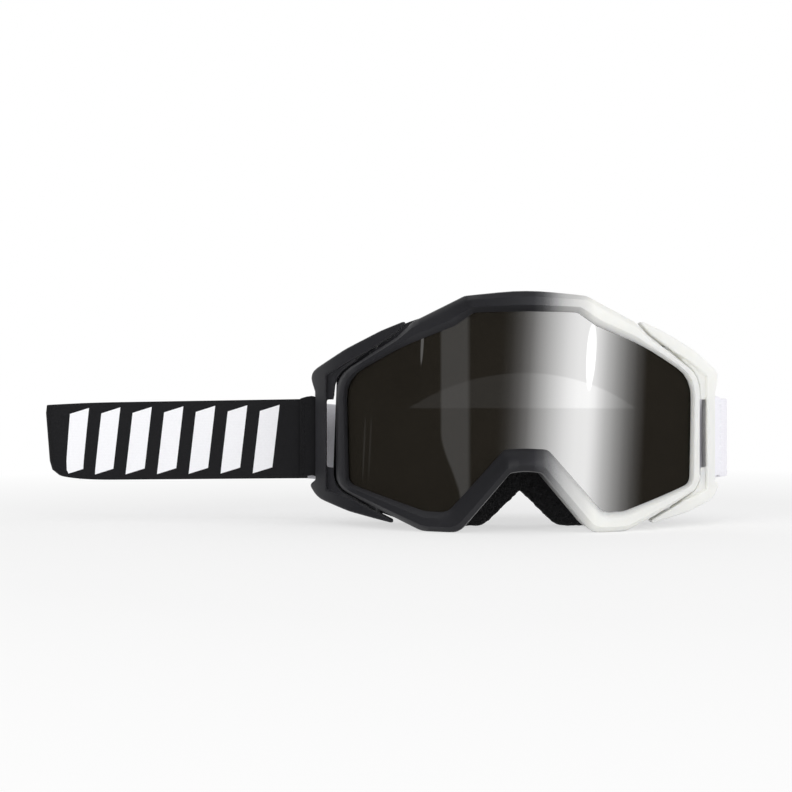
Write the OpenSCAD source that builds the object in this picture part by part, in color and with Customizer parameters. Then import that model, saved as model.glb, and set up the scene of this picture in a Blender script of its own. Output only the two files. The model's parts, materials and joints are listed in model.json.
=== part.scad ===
// Off-road motorcycle goggles: moulded frame, cylindrical lens in a groove, swinging outriggers,
// layered face foam and an elastic strap with a slider.
// +X is to the viewer's right, -Y is the front and +Z is up. The origin lies on the symmetry plane,
// on the table, below the lens's foremost line.

/* [Lens] */
// Width of the lens opening in the frame
opening_w = 158.8; // [154:0.2:164]
// Height of the opening's top edge above the table
opening_top = 96; // [94:0.5:99]
// Width of the flat brow at the top of the opening
brow_w = 45; // [40:1:50]
// Height at which the opening's upper corners turn down
cheek_z = 69; // [66:0.5:72]
// Height of the opening's lower corners
jaw_z = 19.6; // [17:0.2:22]
// Distance of the opening's lowest points from the middle
lobe_x = 37; // [34:0.5:40]
// Height of the opening's lowest edge above the table
chin_z = 8.8; // [7.6:0.2:10]
// Width of the opening's nose bridge
nose_w = 19; // [16:0.5:22]
// Height of the opening's nose bridge above the table
nose_z = 36.3; // [34:0.5:40]
// How much the radius of the lens cylinder exceeds the opening's half width
lens_ease = 20.6; // [18.6:0.1:26.6]
// Thickness of the lens
lens_t = 1; // [0.8:0.1:1.4]

/* [Frame] */
// Bezel width above the lens
brow_rim = 9.4; // [8:0.2:11]
// Bezel width beside the lens
side_rim = 5.1; // [4.9:0.1:5.8]
// Bezel width below the lens
chin_rim = 9.1; // [8.9:0.1:10]
// Bezel width under the nose bridge
nose_rim = 10; // [8:0.2:11]
// Height of the bezel's crest in front of the lens
crest = 3.2; // [2.4:0.1:4]
// How far the middle of the brow stands out from the rest of the bezel
brow_raise = 1.2; // [0:0.1:2]
// Depth of the groove that holds the lens's edge
groove_d = 2.4; // [1.8:0.1:2.6]
// Clearance round the lens in its groove
lens_gap = 0.3; // [0.2:0.05:0.4]
// Depth from the lens's apex to the face flange
frame_depth = 30; // [27:0.5:34]
// Radius of the face curve that the flange follows
face_r = 128; // [120:1:140]
// Thickness of the face flange
flange_t = 2.4; // [1.8:0.1:3]
// Width of one vent slot
vent_w = 11; // [8:0.5:12]

/* [Outriggers] */
// Distance of the pivots inside the frame's sides
pivot_in = 18.5; // [16.5:0.1:19.5]
// Gap between the arms and the frame's edge
arm_gap = 1.2; // [1.1:0.1:1.5]
// Thickness of the arms' face in front of the pivot bosses
arm_skin = 2.6; // [2.2:0.1:3]
// How much the radius of the arms' curve exceeds the frame's half width
arm_ease = 23.5; // [21.5:0.1:27.5]
// Depth of the arms' front face behind the lens's apex
arm_y = 3.2; // [2.6:0.2:4.2]
// Thickness of the arms from front to back
arm_t = 8; // [7.5:0.1:9]
// How far the arms' lower tips reach in from the frame's sides
arm_in = 26.6; // [25.2:0.2:27.2]
// How far the arms' upper tips reach in from the frame's sides
tip_in = 32.2; // [31.2:0.2:32.8]
// Room beside the arms' inner edges, which move inward as the arms swing
swing_room = 1.1; // [1:0.1:1.5]
// How far the arms' corners stand out from the frame's sides
arm_out = 13.4; // [12.8:0.1:13.8]
// How far the arms draw in beside the strap
waist = 3.2; // [3:0.1:3.6]
// Thickness of the arms beside the strap
waist_t = 3.5; // [3:0.1:3.8]
// Height of the arms' upper tips above the frame's edge
arm_tip = 11.3; // [10.8:0.1:11.6]
// Distance of the windows' outer edges from the frame's sides
window_x = 4.8; // [4:0.1:5]
// Width of the raised rim round each arm
rim_w = 5.5; // [4.5:0.1:6]
// Depth of the recessed web behind the rim's face
recess = 2.6; // [2:0.1:2.8]
// Radius of the pivot pins
pin_r = 1.2; // [1:0.05:1.4]
// Running clearance of the pins in the arms' eyes
pin_gap = 0.06; // [0.03:0.01:0.1]
// Radius of the bar that the strap is folded round
bar_r = 1.5; // [1.3:0.1:1.7]
// Distance of the strap bars outside the frame's sides
bar_out = 8.7; // [8.4:0.1:9]
// Depth of the strap bars behind the front of the arms' outer edges
bar_back = 7.2; // [7:0.1:8]

/* [Face foam] */
// Thickness of the foam layer on the frame
base_t = 6; // [4:0.5:8]
// Thickness of the middle foam layer
mid_t = 6; // [4:0.5:8]
// Thickness of the fleece against the skin
fleece_t = 3; // [2:0.5:4]
// Glue line between layers
glue = 0.1; // [0.05:0.05:0.3]
// Thickness of the vent filter foams
filter_t = 2; // [1.5:0.1:2.5]

/* [Strap] */
// Width of the elastic band
strap_w = 38; // [34:1:40]
// Thickness of the elastic band
strap_t = 1.5; // [1.2:0.1:1.6]
// Distance from the middle to the strap's bend on the left
strap_reach = 229; // [200:1:260]
// Distance between the strap's two layers at its bend
layer_gap = 8.26; // [7:0.02:20]
// How far the far layer hangs below the near one
sag = 4; // [2:0.5:6]
// Length of the slider along the strap
slider_l = 24; // [20:1:30]
// Place of the slider along the far layer
slider_x = 5; // [-20:1:15]
// Thickness of the slider's bars
slider_t = 2.2; // [1.8:0.1:2.6]
// Clearance between the band and what it lies on
band_gap = 0.3; // [0.25:0.05:0.4]

/* [Hidden] */
$fn = 48;
arc_n = 4;
run_n = 3;
half_w = opening_w / 2;
lens_r = half_w + lens_ease;
side_x = half_w + side_rim;
pivot_x = side_x - pivot_in;
arm_r = side_x + arm_ease;
bar_x = side_x + bar_out;
waist_x = side_x + arm_out - waist;
eps = 0.01;
// How far a blank or a cut runs past the piece that it shapes
over = 10;
depth_max = lens_r + 3 * over;

// Corners of the lens opening, from the brow's middle round the right side to the nose's middle
opening = [
  [0, opening_top + 0.4, 120],
  [brow_w / 2, opening_top, 4],
  [brow_w / 2 + 8.5, opening_top - 5.7, 7],
  [half_w - 29.4, cheek_z + 14, 22],
  [half_w - 22.4, cheek_z + 10.8, 22],
  [half_w, cheek_z - 1.2, 16],
  [half_w - 1.2, jaw_z, 5],
  [lobe_x + 7, chin_z, 12],
  [lobe_x - 3, chin_z - 0.2, 7],
  [nose_w / 2, nose_z, 5],
  [0, nose_z + 0.5, 60]];
// Steps from each opening corner to the bezel's outer corner, with the outer corner's radius
bezel = [
  [0, brow_rim, 120],
  [brow_w / 11, brow_rim - 2, 5],
  [8, brow_rim - 2.3, 10],
  [-0.9, brow_rim + 0.2, 2],
  [-0.9, 6.2, 3],
  [side_rim, 0.8, 14],
  [side_rim + 1.2, -2, 9],
  [1, -chin_rim, 14],
  [-5, -chin_rim, 9],
  [-2.7, -nose_rim - 0.4, 3],
  [0, -nose_rim, 60]];
// Steps to the frame's wall behind the bezel, which leaves room for the arms
wall = [
  [0, brow_rim - 1.2, 120],
  [brow_w / 14, brow_rim - 3.2, 5],
  [6, brow_rim - 3.8, 10],
  [-0.5, 6.4, 8],
  [0.6, 4.2, 12],
  [side_rim - 0.7, -0.4, 14],
  [side_rim, -0.6, 8],
  [2, -4.6, 12],
  [-4, -chin_rim + 3.4, 8],
  [-2.4, -nose_rim + 1.2, 4],
  [0, -nose_rim + 1.4, 60]];
// Steps to the outer edge of the face flange, which backs the gaps between the arms and the bezel
flange_out = [
  [0, brow_rim, 120],
  [brow_w / 11, brow_rim - 2, 5],
  [8, brow_rim - 2.3, 10],
  [0, brow_rim + 1.5, 4],
  [2, 10.8, 6],
  [side_rim, 6.2, 6],
  [side_rim + 3.6, -7, 6],
  [1, -chin_rim, 14],
  [-5, -chin_rim, 9],
  [-2.7, -nose_rim - 0.4, 3],
  [0, -nose_rim, 60]];
// Steps to the inner edge of the face flange and of the foam
flange_in = [
  [0, -5, 120],
  [-2, -5, 6],
  [-3, -5.2, 8],
  [-2, -5.6, 24],
  [-2, -5, 20],
  [-6, -2.4, 13],
  [-5.4, 4.6, 7],
  [2, 7, 8],
  [3, 7.6, 6],
  [2, 2.2, 6],
  [0, 2.2, 60]];
// Steps to the outer edge of the foam, which hangs lower than the frame under the nose
foam_out = [
  [0, brow_rim - 1.2, 120],
  [brow_w / 11 - 0.6, brow_rim - 3.2, 5],
  [7, brow_rim - 3.6, 10],
  [0, brow_rim - 3, 4],
  [0.6, 6.6, 8],
  [side_rim - 1.2, 3.4, 9],
  [side_rim, -4.4, 8],
  [1, -chin_rim + 0.2, 14],
  [-17.3, -chin_rim + 0.8, 8],
  [1.2 - nose_w / 2, 15.4 - nose_z, 3],
  [0, 16 - nose_z, 20]];

// Depths of a face at a distance inside the lens's front face, of the face flange and of the arms
function lens_y(x, inside) = lens_r - sqrt((lens_r - inside) * (lens_r - inside) - x * x);
function face_y(x) = frame_depth + face_r - sqrt(face_r * face_r - x * x);
function arm_front(x) = arm_y + arm_r - sqrt(arm_r * arm_r - x * x);
function mix(a, b, t) = a + (b - a) * t;
function unit(v) = v / norm(v);
function flat(p) = [p[0], p[1]];
function stepped(base, steps) =
  [for (i = [0:len(base) - 1]) [base[i][0] + steps[i][0], base[i][1] + steps[i][1], steps[i][2]]];
// A half outline and its mirror image as one clockwise loop of corners
function loop(half) =
  concat(half, [for (i = [len(half) - 2:-1:1]) [-half[i][0], half[i][1], half[i][2]]]);
// Length that a corner's rounding takes from each of its two sides
function cut_of(a, b, c) =
  let (u = unit(flat(a) - flat(b)), v = unit(flat(c) - flat(b)))
  let (half_angle = acos(max(-1, min(1, u * v))) / 2)
  min(b[2] / tan(half_angle), 0.48 * norm(flat(a) - flat(b)), 0.48 * norm(flat(c) - flat(b)));
function bend(p, q, r, t) = (1 - t) * (1 - t) * p + 2 * t * (1 - t) * q + t * t * r;
function corner_points(a, b, c) =
  let (cut = cut_of(a, b, c), q = flat(b))
  let (p = q + cut * unit(flat(a) - q), r = q + cut * unit(flat(c) - q))
  [for (i = [0:arc_n]) bend(p, q, r, i / arc_n)];
// Points along a closed loop of rounded corners, with extra points on the straight runs
function outline(corners) =
  let (n = len(corners))
  let (bends = [for (i = [0:n - 1])
    corner_points(corners[(i + n - 1) % n], corners[i], corners[(i + 1) % n])])
  [for (i = [0:n - 1]) each concat(bends[i],
    [for (k = [1:run_n]) mix(bends[i][arc_n], bends[(i + 1) % n][0], k / (run_n + 1))])];
function side_normal(a, b) = let (d = unit(flat(b) - flat(a))) [-d[1], d[0]];
// A clockwise loop of corners moved outward by d
function grown(corners, d) =
  let (n = len(corners))
  [for (i = [0:n - 1])
    let (a = corners[(i + n - 1) % n], b = corners[i], c = corners[(i + 1) % n])
    let (m = side_normal(a, b), k = side_normal(b, c), turn = m[0] * k[1] - m[1] * k[0])
    let (p = flat(b) + d * (m + k) / (1 + m * k))
    [p[0], p[1], max(0.5, b[2] + (turn < 0 ? d : -d))]];

opening_loop = loop(opening);
bezel_loop = loop(stepped(opening, bezel));
wall_loop = loop(stepped(opening, wall));
opening_pts = outline(opening_loop);
bezel_pts = outline(bezel_loop);
wall_pts = outline(wall_loop);
groove_pts = outline(grown(opening_loop, groove_d));
flange_edge_pts = outline(loop(stepped(opening, flange_out)));
flange_pts = outline(loop(stepped(opening, flange_in)));
foam_pts = outline(loop(stepped(opening, foam_out)));
inner_wall_pts = [for (i = [0:len(wall_pts) - 1]) mix(groove_pts[i], wall_pts[i], 0.35)];
function between(t) = [for (i = [0:len(bezel_pts) - 1]) mix(opening_pts[i], bezel_pts[i], t)];

// Depth added to the brow's middle, which fades out at its corners
brow_end = brow_w / 2 + 8;
function raised(p) = p[1] < opening_top - 8 ? 0 : brow_raise * max(0, min(1, (brow_end - abs(p[0])) / 6));
// One ring of a loft: outline, whether it follows the face or the lens, distance behind that,
// and share of the brow's raised middle
function ring(row) =
  [for (p = row[0])
    let (y = row[1] ? face_y(p[0]) + row[2] : lens_y(p[0], row[2]))
    [p[0], y - row[3] * raised(p), p[1]]];

// A closed tube of triangles through rings that all have the same number of points.
// The last row's triangles lean the other way, so that stacked rings have matching faces.
module ring_loft(rows) {
  m = len(rows);
  n = len(rows[0][0]);
  points = [for (row = rows) each ring(row)];
  faces = [for (j = [0:m - 1], i = [0:n - 1])
    let (a = j * n + i, b = j * n + (i + 1) % n)
    let (c = ((j + 1) % m) * n + (i + 1) % n, d = ((j + 1) % m) * n + i)
    each j == m - 1 ? [[a, d, b], [b, d, c]] : [[a, c, b], [a, d, c]]];
  polyhedron(points, faces);
}

// A strip of triangles through open cross-sections, with flat ends
module strip_loft(sections) {
  m = len(sections);
  n = len(sections[0]);
  sides = [for (j = [0:m - 2], i = [0:n - 1])
    let (a = j * n + i, b = j * n + (i + 1) % n, c = (j + 1) * n + (i + 1) % n, d = (j + 1) * n + i)
    each [[a, c, b], [a, d, c]]];
  first = [for (i = [1:n - 2]) [0, i, i + 1]];
  last = [for (i = [1:n - 2]) [(m - 1) * n, (m - 1) * n + i + 1, (m - 1) * n + i]];
  polyhedron([for (s = sections) each s], concat(sides, first, last));
}

// An outline in the X and Z directions, extruded from front to back
module upright(points, y0, y1) {
  translate([0, y1, 0]) rotate([90, 0, 0]) linear_extrude(y1 - y0) polygon(points);
}

module mirrored(side) {
  mirror([side < 0 ? 1 : 0, 0, 0]) children();
}

// Pivots
boss_r = 2.6;
eye_r = 3;
eye_gap = 0.3;
boss_gap = 0.4;
pivot_y = arm_front(pivot_x) + arm_skin + boss_r + arm_gap;
bar_y = arm_front(waist_x) + bar_back;
edge_slope = (bezel_loop[4][1] - bezel_loop[5][1]) / (bezel_loop[5][0] - bezel_loop[4][0]);
upper_edge = bezel_loop[4][1] - edge_slope * (pivot_x - eye_r - bezel_loop[4][0]);
lower_slope = (bezel_loop[6][1] - bezel_loop[7][1]) / (bezel_loop[6][0] - bezel_loop[7][0]);
lower_edge = bezel_loop[7][1] + lower_slope * (pivot_x - eye_r - bezel_loop[7][0]);
upper_eye = [upper_edge + 0.6, upper_edge + 4.8];
lower_eye = [lower_edge - 3.2, lower_edge - 0.6];
boss_l = 6.6;
pin_seat = 5.4;

module at_pivot(z) {
  translate([pivot_x, pivot_y, z]) children();
}

module pivot_bosses() {
  at_pivot(upper_eye[0] - eye_gap - boss_l) cylinder(r = boss_r, h = boss_l);
  at_pivot(lower_eye[1] + eye_gap) cylinder(r = boss_r, h = boss_l);
}

module pin_seats() {
  at_pivot(upper_eye[0] - eye_gap - pin_seat) cylinder(r = pin_r + 0.02, h = pin_seat + eps);
  at_pivot(lower_eye[1] + eye_gap - eps) cylinder(r = pin_r + 0.02, h = pin_seat + eps);
}

module pins() {
  pin_l = pin_seat + eye_gap + upper_eye[1] - upper_eye[0] - 0.6;
  lower_l = pin_seat + eye_gap + lower_eye[1] - lower_eye[0] - 0.4;
  at_pivot(upper_eye[0] - eye_gap - pin_seat + 0.1) cylinder(r = pin_r, h = pin_l);
  at_pivot(lower_eye[0] + 0.3) cylinder(r = pin_r, h = lower_l);
}

// Frame
vent_gap = 3;
vent_h = 5;

module brow_vents() {
  pitch = vent_w + vent_gap;
  for (i = [-1.5:1:1.5]) {
    translate([i * pitch - vent_w / 2, frame_depth * 0.42, opening_top + groove_d + 0.4])
      cube([vent_w, vent_h, brow_rim]);
  }
}

module chin_vents() {
  for (side = [-1, 1], i = [0:1]) {
    x = side * (lobe_x + 2 + i * (vent_w * 0.8 + vent_gap));
    translate([x - vent_w * 0.4, face_y(x) - 12.5, chin_z - 7.5])
      cube([vent_w * 0.8, vent_h, 12]);
  }
}

module frame_shell() {
  back = lens_t + lens_gap;
  ring_loft([
    [opening_pts, false, -lens_gap, 0],
    [between(0.04), false, -1.1, 0.3],
    [between(0.3), false, -crest, 1],
    [between(0.7), false, -crest - 0.2, 1],
    [between(0.95), false, -crest / 2, 1],
    [bezel_pts, false, 0.6, 0.5],
    [bezel_pts, false, 3, 0],
    [wall_pts, false, 4.4, 0],
    [wall_pts, true, -flange_t - 0.6, 0],
    [flange_edge_pts, true, -flange_t, 0],
    [flange_edge_pts, true, 0, 0],
    [flange_pts, true, 0, 0],
    [flange_pts, true, -flange_t, 0],
    [inner_wall_pts, true, -flange_t - 0.6, 0],
    [inner_wall_pts, false, back + 1.7, 0],
    [between(0.05), false, back + 1.5, 0],
    [between(0.03), false, back, 0],
    [groove_pts, false, back, 0],
    [groove_pts, false, -lens_gap, 0]]);
}

module frame() {
  color("#333336")
  difference() {
    union() {
      frame_shell();
      for (side = [-1, 1]) mirrored(side) pivot_bosses();
    }
    for (side = [-1, 1]) mirrored(side) pin_seats();
    brow_vents();
    chin_vents();
    translate([-side_x, -2 * over, -2 * over]) cube([2 * side_x, depth_max, 2 * over]);
  }
}

module lens() {
  color("#221f1a")
  intersection() {
    upright(outline(grown(opening_loop, groove_d - 0.5)), -over, lens_r - 2 * over);
    translate([0, lens_r, -over]) difference() {
      cylinder(r = lens_r, h = 2 * opening_top, $fn = 96);
      translate([0, 0, -over]) cylinder(r = lens_r - lens_t, h = 3 * opening_top, $fn = 96);
    }
  }
}

// Outriggers
window_low = jaw_z + 6.6;
window_high = cheek_z - 11;
strap_z = (window_low + window_high) / 2 - 2.8;
ear_t = 2.6;
ear_gap = 0.8;
arm_upper = [
  [side_x - tip_in, upper_edge + arm_tip, 1],
  [side_x - 21.5, upper_edge + arm_tip - 4, 40],
  [side_x - 4.5, cheek_z + 12, 40]];
arm_lower = [
  [side_x - 6.2, lower_edge - 1.1, 20],
  [side_x - arm_in, lower_edge - 5.2, 0.8],
  [side_x - arm_in, lower_edge + 4, 2],
  [side_x - tip_in, upper_edge - 4, 2]];
// Horns above and below the strap, and the waist between them
horns = [
  [side_x + arm_out, cheek_z + 1.4, 6],
  [waist_x, strap_z + strap_w / 2 + 3, 4],
  [waist_x, strap_z - strap_w / 2 - 0.9, 1.5],
  [side_x + arm_out, jaw_z - 2.4, 4],
  [side_x + arm_out - 4.2, jaw_z - 8, 12]];
arm_corners = concat(arm_upper, horns, arm_lower);
// Outline of the recessed web, which leaves out the horns
web_sides = [[waist_x, cheek_z + 3.3, 6], [waist_x, jaw_z - 7.8, 6]];
web_corners = grown(concat(arm_upper, web_sides, arm_lower), -rim_w);

module arm_shell(points, front, back) {
  intersection() {
    upright(points, -over, arm_r - over);
    difference() {
      translate([0, arm_y + arm_r + front, -over])
        cylinder(r = arm_r, h = opening_top + 3 * over, $fn = 96);
      translate([0, arm_y + arm_r + back, -2 * over])
        cylinder(r = arm_r, h = opening_top + 5 * over, $fn = 96);
    }
  }
}

// A flat lug that ties the strap bar to the arm's corner
module bar_ear(z) {
  x0 = side_x + window_x + 0.8;
  x1 = waist_x - 0.6;
  r = bar_r + 0.5;
  translate([0, 0, z]) linear_extrude(ear_t) polygon([
    [x0, arm_front(x0) + 1],
    [x1, arm_front(x1) + 1],
    [bar_x + r, bar_y - r / 2],
    [bar_x + r, bar_y + r / 2],
    [bar_x + r / 2, bar_y + r],
    [bar_x - r / 2, bar_y + r],
    [bar_x - r, bar_y + r / 2],
    [x0, arm_front(x0) + arm_t]]);
}

module outrigger_body() {
  full = outline(arm_corners);
  low_ear = strap_z - strap_w / 2 - ear_gap - ear_t;
  high_ear = strap_z + strap_w / 2 + ear_gap;
  strap_room = high_ear - low_ear - ear_t;
  difference() {
    union() {
      difference() {
        arm_shell(full, 0, arm_t);
        upright(outline(web_corners), -2 * over, arm_r);
      }
      arm_shell(full, recess, arm_t);
      at_pivot(upper_eye[0]) cylinder(r = eye_r, h = upper_eye[1] - upper_eye[0]);
    }
    upright(outline(grown(bezel_loop, arm_gap)), -2 * over, arm_r);
    intersection() {
      translate([swing_room, 0, 0]) upright(outline(grown(bezel_loop, arm_gap)), -2 * over, arm_r);
      translate([0, -2 * over, -2 * over]) cube([side_x - over, depth_max, opening_top + 4 * over]);
    }
    translate([0, arm_y + arm_r + waist_t, low_ear + ear_t]) cylinder(r = arm_r, h = strap_room, $fn = 96);
    translate([0, -over, window_low])
      cube([side_x + window_x, depth_max, window_high - window_low]);
    at_pivot(upper_eye[0] - 2 * over) cylinder(r = boss_r + boss_gap, h = 2 * over);
    at_pivot(lower_eye[1]) cylinder(r = boss_r + boss_gap, h = 2 * over);
  }
  at_pivot(lower_eye[0]) cylinder(r = eye_r, h = lower_eye[1] - lower_eye[0]);
  bar_ear(low_ear);
  bar_ear(high_ear);
  translate([bar_x, bar_y, low_ear]) cylinder(r = bar_r, h = high_ear + ear_t - low_ear);
}

module outrigger(side) {
  mirrored(side) difference() {
    outrigger_body();
    at_pivot(upper_eye[0] - eps) cylinder(r = pin_r + pin_gap, h = over + eye_r);
    at_pivot(lower_eye[0] - over) cylinder(r = pin_r + pin_gap, h = over + lower_eye[1] - lower_eye[0] + eps);
  }
}

module outrigger_left() { color("#2e2e31") outrigger(-1); }
module outrigger_right() { color("#f2f2ef") outrigger(1); }
module pivot_pins_left() { color("#b8b8b8") mirrored(-1) pins(); }
module pivot_pins_right() { color("#b8b8b8") pins(); }

// Face foam
module foam_layer(y0, y1, ease) {
  eased = [for (i = [0:len(foam_pts) - 1]) mix(foam_pts[i], flange_pts[i], ease)];
  eased_in = [for (i = [0:len(foam_pts) - 1]) mix(flange_pts[i], foam_pts[i], ease)];
  difference() {
    ring_loft([
      [foam_pts, true, y0, 0],
      [foam_pts, true, mix(y0, y1, 0.6), 0],
      [eased, true, y1, 0],
      [eased_in, true, y1, 0],
      [flange_pts, true, mix(y0, y1, 0.6), 0],
      [flange_pts, true, y0, 0]]);
    translate([-side_x, -2 * over, -2 * over]) cube([2 * side_x, depth_max, 2 * over]);
  }
}

foam_0 = 0.6;
foam_1 = foam_0 + base_t;
foam_2 = foam_1 + glue + mid_t;
foam_3 = foam_2 + glue + fleece_t;
module foam_base() { color("#161616") foam_layer(foam_0, foam_1, 0); }
module foam_mid() { color("#1b1b1b") foam_layer(foam_1 + glue, foam_2, 0); }
module foam_fleece() { color("#111111") foam_layer(foam_2 + glue, foam_3, 0.16); }

// A filter strip inside the wall along a stretch of the outline, behind the vents
module vent_filter(first, last) {
  n = len(inner_wall_pts);
  strip_loft([for (k = [first:last])
    let (p = inner_wall_pts[(k + n) % n], q = opening_pts[(k + n) % n])
    let (inward = unit(q - p), a = p + inward * 0.3, b = p + inward * (0.3 + filter_t))
    let (y0 = lens_y(p[0], lens_t + lens_gap + 3), y1 = face_y(p[0]) - flange_t - 1.6)
    [[b[0], y0, b[1]], [b[0], y1, b[1]], [a[0], y1, a[1]], [a[0], y0, a[1]]]]);
}

span = arc_n + 1 + run_n;
module vent_foam_top() { color("#202020") vent_filter(-span + arc_n, span); }
module vent_foam_right() { color("#202020") vent_filter(7 * span - 2, 8 * span); }
module vent_foam_left() {
  color("#202020") mirrored(-1) vent_filter(7 * span - 2, 8 * span);
}

// Strap
fold_r = bar_r + 0.25;
fold_mid = fold_r + strap_t / 2;
lead_slope = 0.16;
left_dir = unit([-1, lead_slope]);
right_lean = 0.6;
right_dir = unit([right_lean, 1]);
left_bar = [-bar_x, bar_y];
right_bar = [bar_x, bar_y];
lap_start = 5.8;
front_leg = 9;
rear_leg = 1.5;
band_off = fold_r - band_gap - strap_t / 2;
function turned(d) = [d[1], -d[0]];
left_end = left_bar + lap_start * left_dir - band_off * turned(left_dir);
right_end = right_bar + lap_start * right_dir + band_off * turned(right_dir);
bend_y = bar_y + lead_slope * (strap_reach - bar_x);
far_y = bend_y + layer_gap;
seam_x = 14 - strap_reach;
slider_flat = 45;
// Height of the band's middle along the near and the far layer
function near_z(x) = lookup(x, [[-strap_reach, strap_z - 1.9], [-bar_x, strap_z]]);
function far_z(x) =
  lookup(x, [[-strap_reach, strap_z - 1.9], [-side_x, strap_z - sag], [slider_flat, strap_z - sag],
    [bar_x - 10, strap_z - sag / 4], [bar_x, strap_z]]);

// Points along an open path of rounded corners
function path(corners) =
  let (n = len(corners))
  [for (i = [0:n - 1]) each i == 0 || i == n - 1 ? [flat(corners[i])]
    : corners[i][2] == 0 ? [flat(corners[i])]
    : corner_points(corners[i - 1], corners[i], corners[i + 1])];
function cross_normal(pts, i) =
  let (d = unit(pts[min(i + 1, len(pts) - 1)] - pts[max(i - 1, 0)])) [-d[1], d[0]];
// Cross-sections of a band that stands on its edge along a path in plan
function band_sections(pts, heights, width, thick) =
  [for (i = [0:len(pts) - 1])
    let (o = cross_normal(pts, i) * thick / 2, a = pts[i] - o, b = pts[i] + o, z = heights[i])
    [[a[0], a[1], z - width / 2], [b[0], b[1], z - width / 2],
      [b[0], b[1], z + width / 2], [a[0], a[1], z + width / 2]]];

module band(pts, heights) {
  strip_loft(band_sections(pts, heights, strap_w, strap_t));
}

black_path = path([
  left_end,
  [-strap_reach, bend_y, 7],
  [-strap_reach, far_y, 6],
  [seam_x, far_y]]);
white_path = path([
  [seam_x + 0.2, far_y],
  [-side_x, far_y, 0],
  [slider_flat, far_y, 0],
  [bar_x + right_lean * (far_y - bar_y), far_y, 24],
  right_end]);

module strap_black() {
  heights = [for (p = black_path) p[1] < (bend_y + far_y) / 2 ? near_z(p[0]) : far_z(p[0])];
  color("#1c1c1e") band(black_path, heights);
}

module strap_white() {
  color("#ecebf0") band(white_path, [for (p = white_path) far_z(p[0])]);
}

// The sewn fold of the band round a strap bar: a long leg, the turn and a short leg
function fold_path(bar, dir, out) =
  concat([bar + front_leg * dir + fold_mid * out],
    [for (i = [0:8]) bar + fold_mid * (cos(180 * i / 8) * out - sin(180 * i / 8) * dir)],
    [bar + rear_leg * dir - fold_mid * out]);

module strap_fold(bar, dir, out) {
  pts = fold_path(bar, dir, out);
  band(pts, [for (p = pts) strap_z]);
}

module strap_loop_left() { color("#1c1c1e") strap_fold(left_bar, left_dir, -turned(left_dir)); }
module strap_loop_right() { color("#ecebf0") strap_fold(right_bar, right_dir, turned(right_dir)); }

// Silicone beads along the inside of the near layer
grip_l = 60;
grip_rise = 11;
bead_w = 3;
bead_t = 1;
module strap_grip() {
  run = unit([-strap_reach, bend_y] - left_end);
  behind = (strap_t / 2 + glue + bead_t / 2) * turned(run);
  pts = [for (along = [30, 30 + grip_l]) left_end + along * run + behind];
  color("#d9d9dc") for (rise = [-grip_rise, 0, grip_rise]) {
    strip_loft(band_sections(pts, [for (p = pts) near_z(p[0]) + rise], bead_w, bead_t));
  }
}

// Slider: two bars in front of the band, one behind it, and a rail along each edge
module strap_slider() {
  z = strap_z - sag;
  rail_z = strap_w / 2 + band_gap + 0.3;
  rail_h = 2.6;
  front = far_y - strap_t / 2 - band_gap - slider_t;
  back = far_y + strap_t / 2 + band_gap;
  bar_w = 4.4;
  color("#ecebf0") translate([slider_x - slider_l / 2, 0, z]) {
    for (x = [0, slider_l - bar_w]) {
      translate([x, front, -rail_z - eps]) cube([bar_w, slider_t, 2 * rail_z + 2 * eps]);
    }
    translate([(slider_l - bar_w) / 2, back, -rail_z - eps]) cube([bar_w, slider_t, 2 * rail_z + 2 * eps]);
    for (low = [-rail_z - rail_h, rail_z]) {
      translate([0, front, low]) cube([slider_l, back - front + slider_t, rail_h]);
    }
  }
}

frame();
lens();
outrigger_left();
outrigger_right();
pivot_pins_left();
pivot_pins_right();
foam_base();
foam_mid();
foam_fleece();
vent_foam_top();
vent_foam_left();
vent_foam_right();
strap_black();
strap_white();
strap_loop_left();
strap_loop_right();
strap_grip();
strap_slider();
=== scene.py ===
import json
import math

import bpy
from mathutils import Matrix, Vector

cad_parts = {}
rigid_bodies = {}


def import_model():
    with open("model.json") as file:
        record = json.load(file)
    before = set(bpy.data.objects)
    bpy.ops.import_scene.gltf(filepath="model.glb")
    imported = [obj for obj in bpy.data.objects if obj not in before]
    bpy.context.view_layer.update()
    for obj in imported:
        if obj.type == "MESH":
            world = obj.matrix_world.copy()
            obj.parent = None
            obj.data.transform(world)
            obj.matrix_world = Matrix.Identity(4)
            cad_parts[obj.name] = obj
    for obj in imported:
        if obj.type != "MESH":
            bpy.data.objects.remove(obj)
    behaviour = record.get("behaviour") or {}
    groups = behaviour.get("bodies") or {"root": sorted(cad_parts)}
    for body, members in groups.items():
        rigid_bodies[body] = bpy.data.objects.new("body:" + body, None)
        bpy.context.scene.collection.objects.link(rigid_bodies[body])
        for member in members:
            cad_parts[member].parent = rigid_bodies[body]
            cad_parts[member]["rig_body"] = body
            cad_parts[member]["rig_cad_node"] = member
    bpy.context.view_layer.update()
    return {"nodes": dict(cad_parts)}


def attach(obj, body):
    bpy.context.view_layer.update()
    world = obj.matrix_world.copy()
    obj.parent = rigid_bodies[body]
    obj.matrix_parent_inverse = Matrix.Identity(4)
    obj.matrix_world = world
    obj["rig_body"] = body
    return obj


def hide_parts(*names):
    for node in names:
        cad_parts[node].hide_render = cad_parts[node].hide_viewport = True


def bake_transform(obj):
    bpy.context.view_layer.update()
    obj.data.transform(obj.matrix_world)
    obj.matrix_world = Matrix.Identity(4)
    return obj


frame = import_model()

bl_info = {
    "name": "Motorcycle goggles",
    "version": (1, 0, 0),
    "blender": (4, 5, 0),
    "location": "View3D > Sidebar > Goggles",
    "description": "Dresses the goggles: moulded frame, mirror lens, face foam, elastic strap and studio",
    "category": "Object",
}

MM = 0.001

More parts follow.
